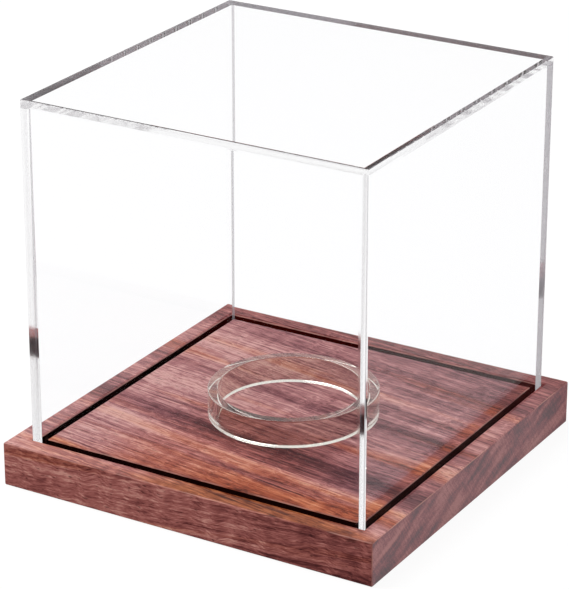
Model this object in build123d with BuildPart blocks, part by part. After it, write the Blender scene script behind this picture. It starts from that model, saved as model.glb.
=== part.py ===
"""Cube display case: a grooved wood base, a clear cover that lifts off, and a clear ring stand.

Millimetres, +Z up. The origin is the centre of the base's underside, and the front looks towards -Y.
"""
from build123d import *
import os

# Clear cover: a box of bonded sheets, open at the bottom
cover_width = 90.0
cover_height = 88.0
sheet = 2.0
sheet_edge_break = 0.2

# Wood base
rim_width = 4.8
base_height = 11.0
base_arris = 0.4
groove_depth = 3.0
groove_arris = 0.2
rim_clearance = 0.2
panel_clearance = 1.0

# Ring stand: a short length of clear tube
ring_outer_diameter = 40.0
ring_wall = 2.5
ring_height = 7.0
ring_edge_break = 0.2

# The groove takes the cover's walls, close to the rim and loose towards the panel
groove_outer_width = cover_width + 2 * rim_clearance
groove_inner_width = cover_width - 2 * (sheet + panel_clearance)
base_width = groove_outer_width + 2 * rim_width

# The cover stands on the groove's floor
cover_foot = base_height - groove_depth
wall_height = cover_height - sheet
wall_centre = (cover_width - sheet) / 2
front_wall_width = cover_width - 2 * sheet


def make_wood_base():
    """One board with a square groove routed in its top, and its edges eased."""
    with BuildPart() as wood_base:
        with BuildSketch():
            Rectangle(base_width, base_width)
        extrude(amount=base_height)
        fillet(wood_base.edges(), radius=base_arris)
        with BuildSketch(Plane.XY.offset(cover_foot)):
            Rectangle(groove_outer_width, groove_outer_width)
            Rectangle(groove_inner_width, groove_inner_width, mode=Mode.SUBTRACT)
        extrude(amount=groove_depth, mode=Mode.SUBTRACT)
        top = wood_base.faces().filter_by(Plane.XY).group_by(Axis.Z)[-1]
        panel = top.sort_by(SortBy.AREA)[-1]
        rim = top.sort_by(SortBy.AREA)[0]
        groove_edges = panel.outer_wire().edges() + rim.inner_wires()[0].edges()
        chamfer(groove_edges, length=groove_arris)
    wood_base.part.label = "wood_base"
    export_step(wood_base.part, "parts/wood_base.step")


def make_side_walls():
    """The left and right sheets run the full depth, so their cut edges show at the front and back."""
    for side, label in ((-1, "cover_left"), (1, "cover_right")):
        with BuildPart() as side_wall:
            with BuildSketch(Plane.XY.offset(cover_foot)):
                with Locations((side * wall_centre, 0)):
                    Rectangle(sheet, cover_width)
            extrude(amount=wall_height)
            uprights = side_wall.edges().filter_by(Axis.Z)
            outer_uprights = uprights.group_by(SortBy.DISTANCE)[-1]
            chamfer(outer_uprights, length=sheet_edge_break)
        side_wall.part.label = label
        export_step(side_wall.part, f"parts/{label}.step")


def make_front_and_back_walls():
    """The front and back sheets are held between the side walls."""
    for side, label in ((-1, "cover_front"), (1, "cover_back")):
        with BuildPart() as wall:
            with BuildSketch(Plane.XY.offset(cover_foot)):
                with Locations((0, side * wall_centre)):
                    Rectangle(front_wall_width, sheet)
            extrude(amount=wall_height)
        wall.part.label = label
        export_step(wall.part, f"parts/{label}.step")


def make_cover_top():
    """The top sheet lies over the edges of all four walls, flush with their outer faces."""
    with BuildPart() as cover_top:
        with BuildSketch(Plane.XY.offset(cover_foot + wall_height)):
            Rectangle(cover_width, cover_width)
        extrude(amount=sheet)
        corners = cover_top.edges().filter_by(Axis.Z)
        upper_edges = cover_top.faces().sort_by(Axis.Z)[-1].edges()
        chamfer(corners + upper_edges, length=sheet_edge_break)
    cover_top.part.label = "cover_top"
    export_step(cover_top.part, "parts/cover_top.step")


def make_ring_stand():
    """The ring stands loose in the middle of the panel, and what is on show rests on its upper inner edge."""
    with BuildPart() as ring_stand:
        with BuildSketch(Plane.XY.offset(base_height)):
            Circle(ring_outer_diameter / 2)
            Circle(ring_outer_diameter / 2 - ring_wall, mode=Mode.SUBTRACT)
        extrude(amount=ring_height)
        chamfer(ring_stand.edges().filter_by(GeomType.CIRCLE), length=ring_edge_break)
    ring_stand.part.label = "ring_stand"
    export_step(ring_stand.part, "parts/ring_stand.step")


os.makedirs("parts", exist_ok=True)
make_wood_base()
make_side_walls()
make_front_and_back_walls()
make_cover_top()
make_ring_stand()
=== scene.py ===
import bmesh
import bpy
import math
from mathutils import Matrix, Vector


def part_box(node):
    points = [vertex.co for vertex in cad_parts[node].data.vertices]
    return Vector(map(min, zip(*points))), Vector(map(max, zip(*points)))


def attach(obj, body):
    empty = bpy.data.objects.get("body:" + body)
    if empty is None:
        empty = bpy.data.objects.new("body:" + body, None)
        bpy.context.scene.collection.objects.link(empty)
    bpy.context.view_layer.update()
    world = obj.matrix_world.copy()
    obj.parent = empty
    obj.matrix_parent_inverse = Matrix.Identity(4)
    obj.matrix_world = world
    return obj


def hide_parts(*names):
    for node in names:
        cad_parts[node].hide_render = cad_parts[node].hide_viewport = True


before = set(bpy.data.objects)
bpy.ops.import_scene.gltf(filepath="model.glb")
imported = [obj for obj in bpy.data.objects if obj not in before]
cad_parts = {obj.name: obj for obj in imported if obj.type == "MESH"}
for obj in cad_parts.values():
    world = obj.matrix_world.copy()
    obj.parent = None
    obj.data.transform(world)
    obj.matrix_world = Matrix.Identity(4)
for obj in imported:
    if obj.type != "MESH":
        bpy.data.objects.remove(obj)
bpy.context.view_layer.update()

from types import SimpleNamespace

MM = 1000.0

# Sizes read from the frame, in metres
base_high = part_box("wood_base")[1]
top_low, top_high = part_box("cover_top")
wall_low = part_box("cover_right")[0]
ring_low, ring_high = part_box("ring_stand")

sheet = top_high.z - top_low.z
cover_half = top_high.x
joint_half = cover_half - sheet

# The same in mm, for the wood. The groove lies inside rim_start, and starts below its eased lip.
cover_edge = cover_half * MM
rim_start = cover_edge + 1.0
board_top = base_high.z * MM
groove_lip = board_top - 0.3

# The height that keeps two faces from coinciding
foot_gap = 0.00005

# Ring stand, in metres
ring_wall = 0.0025
ring_arris = 0.0003
arris_steps = 5
ring_steps = 256

# Wood: the grain's turn in degrees, the layers' shift in mm for each mm down, and how far they wander in mm
grain_turn = 8.5
layer_dip = 2.2
layer_wander = 5.0
layer_ripple = 1.8

# Where each growth layer meets the top, in mm across the grain, and how light it is
first_layer = -60.0
last_layer = 80.0
plain_layer = 0.45
layers = [(-54, 0.72), (-46, 0.6), (-41, 0.62), (-36, 0.74), (-32, 0.6), (-26.5, 0.8), (-22.5, 0.4),
          (-18, 0.12), (-13.5, 0.5), (-9, 0.52), (-3.5, 0.78), (2, 0.55), (7, 0.28), (12, 0.66), (15, 0.45),
          (20, 0.75), (28, 0.5), (36, 0.36), (44, 0.55), (52, 0.4), (72, 0.5)]

# The golden patch on the front rim: its middle and its reach, in mm
golden_middle = (18.0, -49.0, board_top)
golden_reach = (34.0, 6.0, 2.0)

# Wood colours from dark to light, as display values
cool_wood = [(58, 22, 25), (98, 46, 46), (140, 77, 73), (178, 108, 101), (214, 154, 142)]
# The wood seen under painted reflection haze, paler and cooler
mauve_wood = [(58, 24, 32), (100, 54, 60), (142, 90, 94), (180, 124, 124), (214, 166, 160)]
warm_wood = [(64, 22, 14), (112, 50, 36), (162, 78, 52), (198, 116, 80), (226, 168, 132)]
golden_wood = [(60, 20, 8), (108, 50, 26), (154, 84, 46), (192, 118, 74), (222, 158, 114)]
pore_colour = (52, 20, 20)
rubbed_colour = (226, 172, 156)
# Painted shade in the groove, at its front and at its back
scorched_front = (36, 12, 9)
scorched_back = (74, 14, 10)

# Clear acrylic: how it bends light and what share it mirrors head on.
# Of what it mirrors beyond that, the sheets and the ring keep these shares.
acrylic_ior = 1.49
head_on = 0.042
sheet_mirror = 0.35
ring_mirror = 0.9

# What passes through clear acrylic, as linear colours
sheet_tint = (0.99, 0.99, 0.992, 1.0)
# The ring's tint is partly painted shade: it dims and yellows the tube's bright lines
ring_tint = (0.9, 0.885, 0.85, 1.0)
lamp_tint = (0.94, 0.94, 0.945, 1.0)

# Sawn ends and bonds: how blurred and how milky an end is, and the display colours of what is milky
sawn_roughness = 0.12
milkiness_left = 0.04
milkiness_right = 0.015
arris_milkiness = 0.5
sawn_white = (248, 247, 250)
bond_white = (192, 188, 194)

# Camera, fitted to the corners of the base and the cover
camera_target = Vector((0.00635, -0.0144, 0.04825))
camera_distance = 0.655
camera_azimuth = 30.663
camera_elevation = 22.763
lens = 172.51
sensor_width = 36.0

# Lighting, where a strength of 1 is white. The floor is one grey where it lights the object, and where it is
# seen a darker grey with a glow, which together come to white.
backdrop_strength = 1.0
ambient_strength = 0.6
floor_grey = 0.55
floor_seen_grey = 0.12
floor_glow = 0.91
floor_reach = 4.0
key_place = (-0.3, -0.08, 0.6)
key_size = 0.5
key_power = 2.8
light_bounces = 64


def from_srgb(red, green, blue):
    """A display colour, 0 to 255, as the linear colour that shaders take."""
    channels = [value / 255 for value in (red, green, blue)]
    linear = [c / 12.92 if c <= 0.04045 else ((c + 0.055) / 1.055) ** 2.4 for c in channels]
    return (*linear, 1.0)


def grey(value):
    return (value, value, value, 1.0)


class Shading:
    """A node tree, with a short method for each kind of node that the materials here use."""

    def __init__(self, owner):
        owner.use_nodes = True
        self.tree = owner.node_tree
        self.tree.nodes.clear()

    def node(self, kind, inputs=None, **settings):
        made = self.tree.nodes.new(kind)
        for name, value in settings.items():
            setattr(made, name, value)
        for key, value in (inputs or {}).items():
            self.feed(made.inputs[key], value)
        return made

    def feed(self, socket, value):
        if isinstance(value, bpy.types.NodeSocket):
            self.tree.links.new(value, socket)
        else:
            socket.default_value = value

    def maths(self, operation, *values, clamp=False):
        inputs = dict(enumerate(values))
        return self.node("ShaderNodeMath", inputs, operation=operation, use_clamp=clamp).outputs[0]

    def chain(self, operation, first, *others):
        """The same operation over any number of values."""
        result = first
        for value in others:
            result = self.maths(operation, result, value)
        return result

    def product(self, *values):
        return self.chain("MULTIPLY", *values)

    def largest(self, *values):
        return self.chain("MAXIMUM", *values)

    def smallest(self, *values):
        return self.chain("MINIMUM", *values)

    def total(self, *terms):
        """The sum of weight times value over (weight, value) pairs."""
        result = 0.0
        for weight, value in terms:
            result = self.maths("MULTIPLY_ADD", value, weight, result)
        return result

    def without(self, share):
        """1 less a share."""
        return self.maths("SUBTRACT", 1.0, share)

    def above(self, value, limit):
        """1 where value is over limit, and 0 elsewhere."""
        return self.maths("GREATER_THAN", value, limit)

    def below(self, value, limit):
        return self.maths("LESS_THAN", value, limit)

    def size(self, value):
        """The value without its sign."""
        return self.maths("ABSOLUTE", value)

    def vector(self, x, y, z):
        return self.node("ShaderNodeCombineXYZ", {0: x, 1: y, 2: z}).outputs[0]

    def parts(self, vector):
        return self.node("ShaderNodeSeparateXYZ", {0: vector}).outputs

    def vector_maths(self, operation, *vectors):
        return self.node("ShaderNodeVectorMath", dict(enumerate(vectors)), operation=operation).outputs

    def length(self, vector):
        return self.vector_maths("LENGTH", vector)["Value"]

    def in_mm(self, vector):
        return self.vector_maths("MULTIPLY", vector, (MM, MM, MM))[0]

    def place_and_facing(self):
        """A point's place on its object, and how much the surface there faces along X, Y and Z."""
        seat = self.node("ShaderNodeTexCoord").outputs
        facing = self.vector_maths("ABSOLUTE", seat["Normal"])[0]
        return seat["Object"], self.parts(facing)

    def remap(self, value, low, high, new_low=0.0, new_high=1.0, smooth=False):
        inputs = {"Value": value, "From Min": low, "From Max": high, "To Min": new_low, "To Max": new_high}
        kind = "SMOOTHSTEP" if smooth else "LINEAR"
        return self.node("ShaderNodeMapRange", inputs, interpolation_type=kind).outputs[0]

    def ease(self, value, low, high):
        """Rises smoothly from 0 at low to 1 at high."""
        return self.remap(value, low, high, smooth=True)

    def noise(self, vector, lengths, seed, detail=2.0, roughness=0.5):
        """Noise whose patches are about as long as lengths, in the vector's own unit."""
        scaled = self.vector_maths("DIVIDE", vector, lengths)[0]
        inputs = {"Vector": scaled, "W": seed, "Scale": 1.0, "Detail": detail, "Roughness": roughness}
        return self.node("ShaderNodeTexNoise", inputs, noise_dimensions="4D").outputs[0]

    def ramp(self, value, stops, interpolation="LINEAR"):
        made = self.node("ShaderNodeValToRGB", {0: value})
        made.color_ramp.interpolation = interpolation
        elements = made.color_ramp.elements
        for _ in range(len(stops) - 2):
            elements.new(0.5)
        for element, (place, colour) in zip(elements, stops):
            element.position = place
            element.color = colour
        return made.outputs[0]

    def even_ramp(self, value, colours):
        """Display colours at even places from 0 to 1."""
        last = len(colours) - 1
        return self.ramp(value, [(place / last, from_srgb(*colour)) for place, colour in enumerate(colours)])

    def blend(self, share, first, second):
        made = self.node("ShaderNodeMix", data_type="RGBA")
        self.feed(made.inputs[0], share)
        self.feed(made.inputs[6], first)
        self.feed(made.inputs[7], second)
        return made.outputs[2]

    def mix(self, share, first, second):
        return self.node("ShaderNodeMixShader", {0: share, 1: first, 2: second}).outputs[0]

    def light_path(self, *names):
        """1 where any of these kinds of ray meets the surface."""
        path = self.node("ShaderNodeLightPath").outputs
        return self.largest(*[path[name] for name in names])

    def finish(self, surface, kind="ShaderNodeOutputMaterial"):
        self.node(kind, {"Surface": surface})


def new_shading(name):
    material = bpy.data.materials.new(name)
    return material, Shading(material)


def dress(piece, material):
    """Gives every slot of a piece the same material."""
    if not piece.material_slots:
        piece.data.materials.append(material)
    for slot in piece.material_slots:
        slot.material = material


def add_object(name, data):
    made = bpy.data.objects.new(name, data)
    bpy.context.scene.collection.objects.link(made)
    return made


# Wood

def board_places(s):
    """Where a point of the board lies, in mm, which way it faces, and which part it is on."""
    at = SimpleNamespace()
    place, facing = s.place_and_facing()
    at.place = s.in_mm(place)
    at.x, at.y, at.z = s.parts(at.place)
    at.beside, at.before, at.up = facing
    at.off_front = s.without(at.before)
    at.beyond = s.largest(s.size(at.x), s.size(at.y))
    at.on_panel = s.below(at.beyond, cover_edge)
    at.off_panel = s.without(at.on_panel)
    at.on_rim = s.product(s.above(at.beyond, rim_start), at.off_front)
    at.in_groove = s.product(s.below(at.z, groove_lip), s.below(at.beyond, rim_start))
    return at


def board_grain(s, at):
    """The growth layers, and the streaks and fibres along them. The grain runs nearly along X."""
    grain = SimpleNamespace()
    turn = math.radians(grain_turn)
    along = s.total((math.cos(turn), at.x), (-math.sin(turn), at.y))
    across = s.total((math.sin(turn), at.x), (math.cos(turn), at.y))
    straight = s.vector(along, across, at.z)

    # A layer is named by the place where it meets the top. Noise averages a half, which level takes back.
    wander = s.noise(straight, (60.0, 14.0, 14.0), 1.3)
    ripple = s.noise(straight, (16.0, 3.5, 3.5), 7.1)
    level = layer_dip * board_top - (layer_wander + layer_ripple) / 2
    grain.layer = s.total((1.0, across), (-layer_dip, at.z), (layer_wander, wander), (layer_ripple, ripple),
                          (level, 1.0))
    span = last_layer - first_layer
    stops = [((place - first_layer) / span, grey(light)) for place, light in layers]
    growth = s.ramp(s.remap(grain.layer, first_layer, last_layer), stops, "EASE")

    # The front is cut nearly along the layers, so they show less there, and its fibres look shorter.
    # The layers also show less towards the left.
    contrast = s.total((-0.7, at.before), (0.006, at.x), (1.0, 1.0))
    departure = s.maths("SUBTRACT", growth, plain_layer)
    grain.growth = s.total((1.0, s.product(departure, contrast)), (plain_layer, 1.0))
    shortened = s.product(along, s.total((1.2, at.before), (1.0, 1.0)))

    # Streaks follow the layers
    grain.lines = s.vector(along, grain.layer, at.z)
    grain.bands = s.noise(grain.lines, (70.0, 5.0, 40.0), 4.0)
    grain.streaks = s.noise(grain.lines, (38.0, 1.3, 12.0), 2.0, detail=4.0, roughness=0.68)
    grain.veins = s.ease(s.noise(grain.lines, (30.0, 0.9, 9.0), 17.0, detail=1.0), 0.56, 0.72)

    # Single fibres wave from side to side, and pores are short dashes along them
    wave = s.noise(straight, (7.0, 18.0, 18.0), 21.0, detail=1.0)
    waved = s.vector(shortened, s.total((1.0, across), (1.5, wave)), s.total((1.0, at.z), (4.0, wave)))
    grain.fibres = s.noise(waved, (12.0, 0.55, 0.55), 3.0, detail=4.0, roughness=0.7)
    grain.figure = s.noise(straight, (3.6, 26.0, 12.0), 9.0, detail=1.0)
    grain.pores = s.ease(s.noise(waved, (4.0, 0.5, 0.5), 5.0, detail=1.0), 0.62, 0.74)
    return grain


def golden_patch(s, at):
    """A golden-brown patch on the right half of the front rim, fading out all round."""
    offsets = [s.maths("SUBTRACT", value, middle) for value, middle in zip((at.x, at.y, at.z), golden_middle)]
    shares = [s.maths("DIVIDE", offset, reach) for offset, reach in zip(offsets, golden_reach)]
    return s.product(s.ease(s.length(s.vector(*shares)), 1.2, 0.5), at.off_front)


def board_zones(s, at):
    """Places where the wood's tone or colour differs, each as a share from 0 to 1."""
    zone = SimpleNamespace()
    zone.golden = golden_patch(s, at)
    # The strip along the right groove, where the painted reflection haze stops; the wood there is lighter and
    # warmer
    zone.bordered = s.product(s.ease(at.x, 38.0, 40.2), at.on_panel)
    # Painted light: the panel along the front groove is darker and warmer, for light bounced in the clear
    # front wall
    zone.orange = s.product(s.ease(at.y, -34.0, -43.0), at.on_panel)
    # Painted shade: the front face darker towards its right, away from the lamp
    zone.front_right = s.product(s.ease(at.x, 5.0, 40.0), at.before)
    zone.front_middle = s.product(s.ease(s.size(at.x), 28.0, 12.0), at.before)
    zone.back_rim = s.product(s.remap(at.y, 30.0, 48.0), at.off_panel)

    # Painted light: the left end of the front rim is lighter and pink, as lit from the left and with a
    # painted sheen, and a painted sheen makes the right rim pale behind its middle
    front_rim = s.product(s.remap(at.y, -40.0, -46.0), at.off_panel, at.off_front)
    zone.pink = s.product(s.ease(at.x, -5.0, -35.0), front_rim)
    right_rim = s.product(s.remap(at.x, 40.0, 46.0), at.off_panel)
    behind_middle = s.product(s.remap(at.y, -10.0, 5.0), s.remap(at.y, 42.0, 30.0))
    zone.pale = s.product(right_rim, behind_middle)

    # Painted reflection haze: the top turns paler and cooler away from the middle of its front, less so on
    # the rim and least on the back rim, and not in the golden patch or in the strip along the right groove
    from_front = s.vector(at.x, s.total((1.0, at.y), (34.0, 1.0)), 0.0)
    outwards = s.ease(s.length(from_front), 14.0, 38.0)
    redder = s.maths("SUBTRACT", at.off_front, zone.golden)
    free = s.maths("SUBTRACT", redder, zone.bordered, clamp=True)
    strength = s.total((-0.35, at.off_panel), (-0.35, zone.back_rim), (1.0, 1.0))
    zone.mauve = s.product(outwards, free, strength)
    return zone


def long_grain_colour(s, at, grain, zone):
    """The colour of the top and the front, from how light the wood is and how warm."""
    # Painted light and shade in the tone: lighter towards the left, the panel much more so, as lit from the
    # left; the panel a step darker as shade under the cover; lighter under the painted haze, in the haze-free
    # strip, at the lit left end of the front rim and under the painted sheen of the right rim; darker in the
    # painted shade at the right of the front face and along the front groove
    tone = s.total(
        (0.85, grain.growth), (0.6, grain.bands), (1.2, grain.streaks), (-0.25, grain.veins),
        (1.7, grain.fibres), (0.4, grain.figure), (-0.0008, at.x),
        (-0.0041, s.product(at.x, at.on_panel)), (-0.04, at.on_panel),
        (0.1, s.product(zone.mauve, at.on_panel)), (-0.2, zone.golden), (-0.18, zone.orange),
        (-0.155, zone.front_right), (0.1, zone.bordered), (-0.06, zone.back_rim), (0.09, at.before),
        (0.05, zone.front_middle), (0.11, zone.pink), (0.1, zone.pale), (-1.84, 1.0))
    # Painted light in the warmth too: warmer along the front groove and in the haze-free strip, pinker at the
    # lit left end of the front rim
    warmth = s.total(
        (1.0, s.noise(grain.lines, (90.0, 6.0, 50.0), 11.0)), (0.26, zone.orange), (0.1, zone.bordered),
        (-0.1, at.before), (-0.28, s.remap(at.y, 25.0, 48.0)), (-0.1, zone.pink))
    # Painted reflection haze: the paler, cooler colours blend in where the haze lies
    colour = s.blend(zone.mauve, s.even_ramp(tone, cool_wood), s.even_ramp(tone, mauve_wood))
    colour = s.blend(s.ease(warmth, 0.46, 0.74), colour, s.even_ramp(tone, warm_wood))
    colour = s.blend(s.product(zone.golden, 0.85), colour, s.even_ramp(tone, golden_wood))
    return s.blend(s.product(grain.pores, 0.6), colour, from_srgb(*pore_colour))


def end_grain_colour(s, at, grain):
    """Cooler and softer: broad slanting bands of pink and grey, speckled by the cut fibres."""
    speckle = s.noise(at.place, (0.35, 0.35, 0.35), 6.0, detail=2.0, roughness=0.6)
    clouds = s.noise(s.vector(0.0, grain.layer, at.z), (20.0, 9.0, 5.0), 31.0, detail=2.0)
    slanted = s.vector(at.x, s.total((1.0, at.y), (0.7, at.z)), at.z)
    cut = s.noise(slanted, (6.0, 0.5, 2.6), 33.0, detail=2.0)
    tone = s.total((0.35, grain.growth), (1.8, clouds), (0.6, cut), (0.9, speckle), (-1.28, 1.0))
    return s.ramp(tone, [(0.1, from_srgb(92, 72, 76)), (0.4, from_srgb(126, 85, 91)),
                         (0.6, from_srgb(157, 97, 101)), (0.9, from_srgb(190, 131, 129))])


def rubbed_share(s, at):
    """Edges are paler in places. An edge is where the surface faces two ways at once."""
    least = s.smallest(at.beside, at.before, at.up)
    most = s.largest(at.beside, at.before, at.up)
    second = s.total((1.0, at.beside), (1.0, at.before), (1.0, at.up), (-1.0, least), (-1.0, most))
    rubbed = s.ease(second, 0.3, 0.6)
    worn = s.remap(s.noise(at.place, (9.0, 9.0, 9.0), 14.0), 0.35, 0.6)
    return s.product(rubbed, worn, 0.45)


def wood_material():
    """Oiled reddish-brown hardwood, whose growth layers slant through the board."""
    material, s = new_shading("oiled_hardwood")
    at = board_places(s)
    grain = board_grain(s, at)
    zone = board_zones(s, at)

    end = s.ease(at.beside, 0.6, 0.9)
    colour = s.blend(end, long_grain_colour(s, at, grain, zone), end_grain_colour(s, at, grain))
    colour = s.blend(rubbed_share(s, at), colour, from_srgb(*rubbed_colour))

    # Painted shade: the groove is darkened nearly to black, and a lighter red towards the back
    scorched = s.blend(s.remap(at.y, 20.0, 43.0), from_srgb(*scorched_front), from_srgb(*scorched_back))
    colour = s.blend(at.in_groove, colour, scorched)

    height = s.total((0.6, grain.fibres), (0.3, grain.streaks), (-1.0, grain.pores))
    bump = s.node("ShaderNodeBump", {"Strength": 0.3, "Distance": 0.00015, "Height": height})
    rough = s.total((0.25, grain.streaks), (0.1, grain.pores), (0.42, 1.0))
    gloss = s.total((0.42, at.on_rim), (-0.3, zone.golden), (-0.36, zone.back_rim), (-0.12, at.in_groove),
                    (-0.08, at.before), (0.14, 1.0))
    wood = s.node("ShaderNodeBsdfPrincipled",
                  {"Base Color": colour, "Roughness": rough, "Specular IOR Level": gloss,
                   "Normal": bump.outputs[0]})
    s.finish(wood.outputs[0])
    return material


# Clear acrylic

def clear_surface(s, mirror_share, tint, roughness=0.0):
    """Bends what is behind it, tinted, and mirrors what is met aslant."""
    fresnel = s.node("ShaderNodeFresnel", {"IOR": acrylic_ior}).outputs[0]
    aslant = s.largest(s.maths("SUBTRACT", fresnel, head_on), 0.0)

    # Where no light gets out, as inside a sheet that is met aslant, the whole share is mirrored
    steep = s.maths("POWER", fresnel, 6.0)
    mirror = s.total((mirror_share, aslant), (1.0 - mirror_share * (1.0 - head_on), steep))
    bent = s.node("ShaderNodeBsdfRefraction",
                  {"Color": tint, "Roughness": roughness, "IOR": acrylic_ior}).outputs[0]
    gloss = s.node("ShaderNodeBsdfGlossy", {"Color": grey(1.0), "Roughness": roughness}).outputs[0]
    return s.mix(mirror, bent, gloss)


def milky(s, colour):
    """Half of the light is scattered onwards and half is scattered back."""
    onwards = s.node("ShaderNodeBsdfTranslucent", {0: colour}).outputs[0]
    back = s.node("ShaderNodeBsdfDiffuse", {0: colour}).outputs[0]
    return s.mix(0.5, onwards, back)


def open_way(s, tint):
    return s.node("ShaderNodeBsdfTransparent", {0: tint}).outputs[0]


def lamp_ray(s):
    return s.light_path("Is Shadow Ray", "Is Diffuse Ray")


def sheet_zones(s):
    """The sawn ends and the bonded joints of the cover's sheets, each as 1 there and 0 elsewhere."""
    zone = SimpleNamespace()
    hair = sheet / 20
    place, (beside, before, up) = s.place_and_facing()
    zone.place = place
    x, y, z = s.parts(place)
    behind_middle = s.above(y, 0.0)
    zone.dullness = s.remap(x, -cover_half, cover_half, milkiness_left, milkiness_right)
    x = s.size(x)
    y = s.size(y)
    flat = s.above(up, 0.9)
    below_lid = s.below(z, top_low.z + hair)
    in_lid = s.above(z, top_low.z + hair)
    in_side_wall = s.product(s.above(x, joint_half), below_lid)

    # Sawn ends of the lid and the walls, with the eased edges beside them, and the walls' feet
    lid_end = s.product(in_lid, s.below(up, 0.5))
    wall_end = s.product(s.above(before, 0.9), s.above(y, cover_half - hair), in_side_wall)
    zone.wall_arris = s.product(s.above(before, 0.5), s.below(before, 0.9), in_side_wall)
    foot = s.product(flat, s.below(z, wall_low.z + hair))
    zone.sawn = s.total((1.0, lid_end), (1.0, wall_end), (1.0, zone.wall_arris), (1.0, foot))

    # Joints, where two sheets meet face to face
    at_joint_height = s.product(below_lid, s.above(z, top_low.z - hair))
    over_wall = s.above(s.largest(x, y), joint_half - hair)
    under_lid = s.product(flat, at_joint_height, over_wall)
    zone.wall_to_wall = s.product(s.above(beside, 0.9), s.below(x, joint_half + hair),
                                  s.above(y, joint_half - hair), below_lid)
    zone.joint = s.largest(under_lid, zone.wall_to_wall)
    zone.back_corner = s.product(zone.wall_to_wall, behind_middle)
    zone.lid_over_back = s.product(under_lid, behind_middle, s.above(y, joint_half))
    zone.lid_over_sides = s.product(under_lid, s.above(x, joint_half))
    return zone


def sheet_material():
    """Clear sheet with sawn ends that are a little dull and milky, and bonded joints."""
    material, s = new_shading("clear_acrylic_sheet")
    zone = sheet_zones(s)
    polished = clear_surface(s, sheet_mirror, sheet_tint)
    dull = clear_surface(s, sheet_mirror, sheet_tint, sawn_roughness)
    milkiness = s.total((arris_milkiness, zone.wall_arris), (1.0, zone.dullness))
    sawn_look = s.mix(milkiness, dull, milky(s, from_srgb(*sawn_white)))
    sheet_look = s.mix(zone.sawn, polished, sawn_look)
    surface = s.mix(lamp_ray(s), sheet_look, open_way(s, lamp_tint))

    # The bond lets light through, and is milky at the back and in patches between the lid and the side walls
    patches = s.remap(s.noise(s.in_mm(zone.place), (10.0, 45.0, 10.0), 40.0), 0.4, 0.62, 0.0, 0.35)
    cloud = s.total((0.4, zone.back_corner), (0.25, zone.lid_over_back),
                    (1.0, s.product(zone.lid_over_sides, patches)))
    through = open_way(s, grey(1.0))
    clouded = s.mix(cloud, through, milky(s, from_srgb(*bond_white)))
    s.finish(s.mix(zone.joint, surface, s.mix(lamp_ray(s), clouded, through)))
    return material


def ring_material():
    """Clear tube, tinted a little yellow and darker, partly as painted shade, which lets the lamps' light
    straight through.
    """
    material, s = new_shading("clear_acrylic_tube")
    surface = clear_surface(s, ring_mirror, ring_tint)
    s.finish(s.mix(lamp_ray(s), surface, open_way(s, lamp_tint)))
    return material


def make_walls(material):
    """The CAD walls with their feet a hair above the groove's floor, so that the two faces never coincide."""
    for side in ("left", "right", "front", "back"):
        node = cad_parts["cover_" + side]
        wall = add_object("sheet_" + side, node.data.copy())
        for vertex in wall.data.vertices:
            vertex.co.z = max(vertex.co.z, wall_low.z + foot_gap)
        dress(wall, material)
        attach(wall, "cover")
        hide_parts("cover_" + side)


def ring_profile():
    """The tube's section as (radius, height) points, with rounded arrises and flats that stay flat."""
    outer = ring_high.x
    inner = outer - ring_wall
    low = ring_low.z + foot_gap
    high = ring_high.z
    corners = [(outer, low, -90), (outer, high, 0), (inner, high, 90), (inner, low, 180)]
    inward = {-90: (-1, 1), 0: (-1, -1), 90: (1, -1), 180: (1, 1)}
    points = []
    for radius, height, start in corners:
        step_in, step_up = inward[start]
        centre_radius = radius + step_in * ring_arris
        centre_height = height + step_up * ring_arris
        for step in range(arris_steps + 1):
            angle = math.radians(start + 90 * step / arris_steps)
            points.append((centre_radius + ring_arris * math.cos(angle),
                           centre_height + ring_arris * math.sin(angle)))
    return points


def with_flat_ends(points, inset):
    """Adds a point just inside both ends of each long stretch, so that smooth shading leaves it flat."""
    result = []
    for place, point in enumerate(points):
        here = Vector(point)
        there = Vector(points[(place + 1) % len(points)])
        result.append(here)
        if (there - here).length > 4 * inset:
            step = (there - here).normalized() * inset
            result.append(here + step)
            result.append(there - step)
    return result


def make_ring(material):
    """The tube turned in fine steps, so that its walls bend light like a real tube's."""
    profile = with_flat_ends(ring_profile(), ring_arris / 4)
    mesh = bmesh.new()
    rows = []
    for step in range(ring_steps):
        angle = math.tau * step / ring_steps
        around = Vector((math.cos(angle), math.sin(angle), 0))
        rows.append([mesh.verts.new(around * p.x + Vector((0, 0, p.y))) for p in profile])
    for row, following in zip(rows, rows[1:] + rows[:1]):
        for place, vertex in enumerate(row):
            after = (place + 1) % len(row)
            mesh.faces.new((vertex, following[place], following[after], row[after]))
    bmesh.ops.recalc_face_normals(mesh, faces=mesh.faces)
    data = bpy.data.meshes.new("ring_tube")
    mesh.to_mesh(data)
    mesh.free()
    data.shade_smooth()
    ring = add_object("ring_tube", data)
    dress(ring, material)
    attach(ring, "ring_stand")
    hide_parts("ring_stand")


# Studio

def seen_ray(s):
    """1 for rays that show a thing, straight, mirrored or through acrylic, and 0 for those that light one."""
    return s.light_path("Is Camera Ray", "Is Glossy Ray", "Is Transmission Ray")


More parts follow.
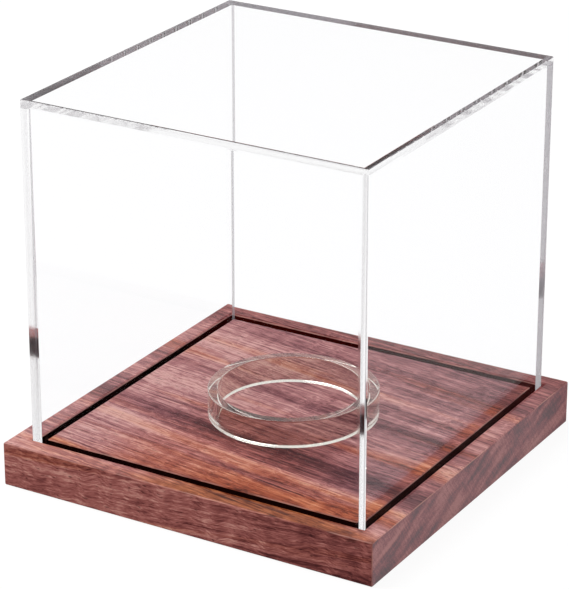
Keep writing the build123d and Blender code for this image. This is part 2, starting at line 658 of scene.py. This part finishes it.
def make_floor():
    """A white floor, lifted to white where it is seen but for the object's shadow."""
    mesh = bpy.data.meshes.new("floor")
    corners = [(x * floor_reach, y * floor_reach, 0) for x, y in ((-1, -1), (1, -1), (1, 1), (-1, 1))]
    mesh.from_pydata(corners, [], [(0, 1, 2, 3)])
    floor = add_object("floor", mesh)
    floor.location.z = -foot_gap
    material, s = new_shading("floor_white")
    paper = s.node("ShaderNodeBsdfDiffuse", {0: grey(floor_grey)}).outputs[0]
    pale = s.node("ShaderNodeBsdfDiffuse", {0: grey(floor_seen_grey)}).outputs[0]
    glow = s.node("ShaderNodeEmission", {"Strength": floor_glow}).outputs[0]
    seen = s.node("ShaderNodeAddShader", {0: pale, 1: glow}).outputs[0]
    s.finish(s.mix(seen_ray(s), paper, seen))
    dress(floor, material)


def make_world():
    """White where it is seen, and dimmer as light on the object."""
    world = bpy.data.worlds.new("studio")
    bpy.context.scene.world = world
    s = Shading(world)
    strength = s.remap(seen_ray(s), 0.0, 1.0, ambient_strength, backdrop_strength)
    sky = s.node("ShaderNodeBackground", {"Color": grey(1.0), "Strength": strength})
    s.finish(sky.outputs[0], "ShaderNodeOutputWorld")


def make_key_lamp():
    """A broad soft lamp at the upper left, turned to the middle of the object's foot."""
    light = bpy.data.lights.new("key", "AREA")
    light.shape = "DISK"
    light.size = key_size
    light.energy = key_power
    lamp = add_object("key", light)
    lamp.location = key_place
    lamp.rotation_mode = "QUATERNION"
    lamp.rotation_quaternion = (-Vector(key_place)).to_track_quat("-Z", "Y")


def make_camera():
    azimuth = math.radians(camera_azimuth)
    elevation = math.radians(camera_elevation)
    back = Vector((math.sin(azimuth) * math.cos(elevation), -math.cos(azimuth) * math.cos(elevation),
                   math.sin(elevation)))
    data = bpy.data.cameras.new("camera")
    data.lens = lens
    data.sensor_width = sensor_width
    data.clip_start = 0.01
    camera = add_object("camera", data)
    camera.location = camera_target + camera_distance * back
    camera.rotation_mode = "QUATERNION"
    camera.rotation_quaternion = back.to_track_quat("Z", "Y")
    bpy.context.scene.camera = camera


scene = bpy.context.scene
scene.view_settings.view_transform = "Standard"

# Light passes along the inside of the sheets by many reflections
scene.cycles.max_bounces = light_bounces
scene.cycles.glossy_bounces = light_bounces
scene.cycles.transmission_bounces = light_bounces
scene.cycles.transparent_max_bounces = light_bounces

dress(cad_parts["wood_base"], wood_material())
clear_sheet = sheet_material()
dress(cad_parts["cover_top"], clear_sheet)
make_walls(clear_sheet)
make_ring(ring_material())

make_floor()
make_world()
make_key_lamp()
make_camera()
